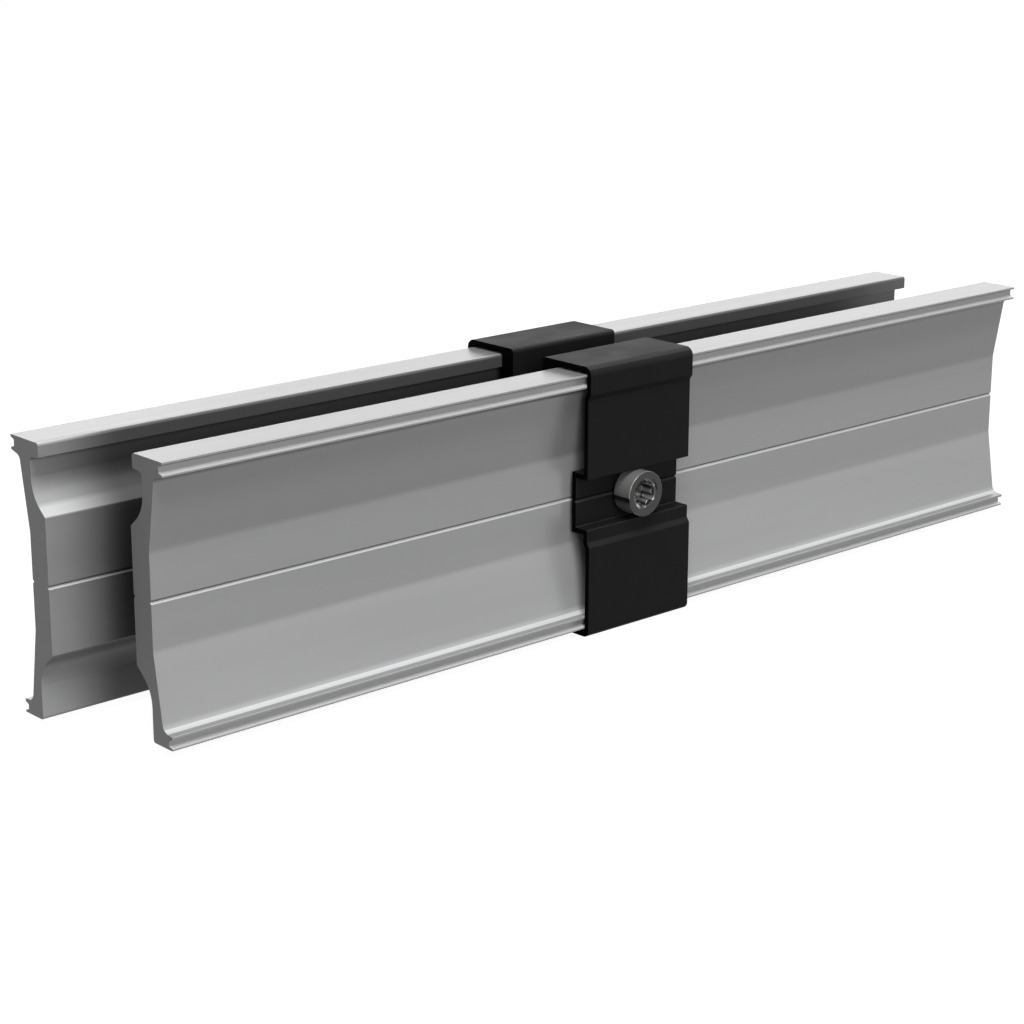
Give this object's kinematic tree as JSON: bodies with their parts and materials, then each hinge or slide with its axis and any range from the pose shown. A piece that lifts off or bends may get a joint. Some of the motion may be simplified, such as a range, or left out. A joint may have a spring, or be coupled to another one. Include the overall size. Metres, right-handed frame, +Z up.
{
  "type": "solar rail splice",
  "caption": "Internal splice for solar mounting rails: two offset extruded bars with ribbed edges, a black collar round each, and a central screw that spreads them.",
  "frame": {"origin": "on the floor under the middle of the splice: half way along the bars and half way through its depth, at the collars' undersides", "axes": "+X along the bars, +Y from the screw head's side to the far side, +Z up"},
  "size_m": [0.2636, 0.041, 0.0599],
  "materials": {
    "bar": "satin mill finish",
    "collar": "matt black coating",
    "screw": "bright, fine turned"
  },
  "bodies": {
    "front_half": {"bar_front": "bar", "collar_front": "collar"},
    "rear_half": {"bar_rear": "bar", "collar_rear": "collar"},
    "screw": {"spread_screw": "screw", "retaining_ring": "screw"}
  },
  "joints": [
    {"name": "half_spread", "type": "slide", "parent": "front_half", "child": "rear_half", "axis": [0, 1, 0], "range_m": [0, 0.00085]},
    {"name": "screw_turn", "type": "hinge", "parent": "rear_half", "child": "screw", "pos_m": [0, 0, 0.02995], "axis": [0, 1, 0], "range_deg": [0, 306]}
  ],
  "couplings": [
    {"joint": "screw_turn", "follows": "half_spread", "rad_per_m": 6283.2}
  ]
}
